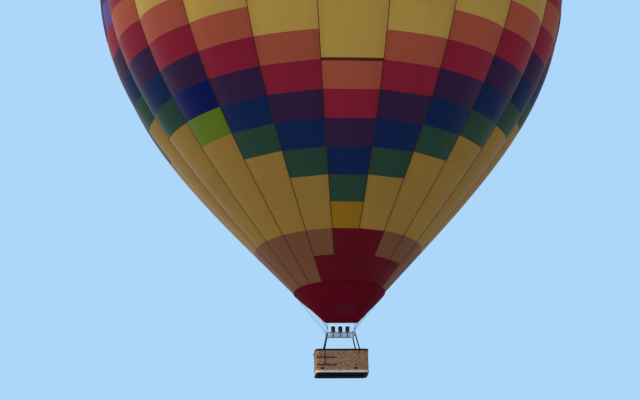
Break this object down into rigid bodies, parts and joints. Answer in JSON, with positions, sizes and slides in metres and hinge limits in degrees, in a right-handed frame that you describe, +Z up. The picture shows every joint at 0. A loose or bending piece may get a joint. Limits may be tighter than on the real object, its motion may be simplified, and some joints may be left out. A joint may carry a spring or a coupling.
{
  "type": "passenger hot air balloon",
  "caption": "Hot air balloon with a gored fabric envelope, parachute vent, scoop, gimballed burners and a wicker passenger basket.",
  "frame": {"origin": "middle of the envelope at its widest ring, where the air's lift holds it up", "axes": "+Z up along the envelope's axis, +X along the basket towards its passenger end, -Y towards the side that the scoop hangs on"},
  "size_m": [25.312, 25.2916, 31.1931],
  "materials": {
    "envelope_fabric": "coated ripstop, satin",
    "turning_vent_fabric": "coated ripstop, satin",
    "scoop_fabric": "fire resistant cloth, matt",
    "webbing": "woven tape, matt",
    "crown_ring_metal": "satin",
    "wire_rope": "stranded stainless",
    "karabiner_steel": "satin",
    "frame_steel": "satin",
    "burner_steel": "heat stained",
    "padding": "soft grain, satin",
    "wicker": "woven willow and cane, varnished",
    "hide": "rawhide, matt",
    "plywood": "varnished",
    "runner_wood": "dark stained, worn",
    "cylinder_aluminium": "satin"
  },
  "bodies": {
    "balloon": {"gore_01": "envelope_fabric", "gore_02": "envelope_fabric", "gore_03": "envelope_fabric", "gore_04": "envelope_fabric", "gore_05": "envelope_fabric", "gore_06": "envelope_fabric", "gore_07": "envelope_fabric", "gore_08": "envelope_fabric", "gore_09": "envelope_fabric", "gore_10": "envelope_fabric", "gore_11": "envelope_fabric", "gore_12": "envelope_fabric", "gore_13": "envelope_fabric", "gore_14": "envelope_fabric", "gore_15": "envelope_fabric", "gore_16": "envelope_fabric", "gore_17": "envelope_fabric", "gore_18": "envelope_fabric", "gore_19": "envelope_fabric", "gore_20": "envelope_fabric", "turning_vent_left": "turning_vent_fabric", "turning_vent_right": "turning_vent_fabric", "crown_tapes": "webbing", "crown_ring": "crown_ring_metal", "mouth_hem": "scoop_fabric", "scoop": "scoop_fabric", "flying_wires_front_left": "wire_rope", "flying_wires_front_right": "wire_rope", "flying_wires_rear_left": "wire_rope", "flying_wires_rear_right": "wire_rope", "karabiner_front_left": "karabiner_steel", "karabiner_front_right": "karabiner_steel", "karabiner_rear_left": "karabiner_steel", "karabiner_rear_right": "karabiner_steel", "load_frame": "frame_steel", "upright_front_left": "padding", "upright_front_right": "padding", "upright_rear_left": "padding", "upright_rear_right": "padding", "rim_pad": "padding", "basket_wall": "wicker", "hide_band": "hide", "basket_floor": "plywood", "cross_partition": "wicker", "long_partition": "wicker", "runner_1": "runner_wood", "runner_2": "runner_wood", "runner_3": "runner_wood", "fuel_cylinder_1": "cylinder_aluminium", "fuel_cylinder_2": "cylinder_aluminium", "fuel_cylinder_3": "cylinder_aluminium", "fuel_cylinder_4": "cylinder_aluminium"},
    "vent": {"parachute_vent": "envelope_fabric"},
    "gimbal": {"gimbal_ring": "frame_steel"},
    "burners": {"burner_rack": "frame_steel", "burner_can_1": "burner_steel", "burner_can_2": "burner_steel", "burner_can_3": "burner_steel"}
  },
  "joints": [
    {"name": "vent_slide", "type": "slide", "parent": "balloon", "child": "vent", "axis": [0, 0, -1], "range_m": [0, 1.5], "stiffness_N_per_m": 60, "springref_m": -3},
    {"name": "gimbal_tilt", "type": "hinge", "parent": "balloon", "child": "gimbal", "pos_m": [0, 0, -19.434], "axis": [1, 0, 0], "range_deg": [-20, 20]},
    {"name": "burner_tilt", "type": "hinge", "parent": "gimbal", "child": "burners", "pos_m": [0, 0, -19.434], "axis": [0, 1, 0], "range_deg": [-20, 20]}
  ]
}
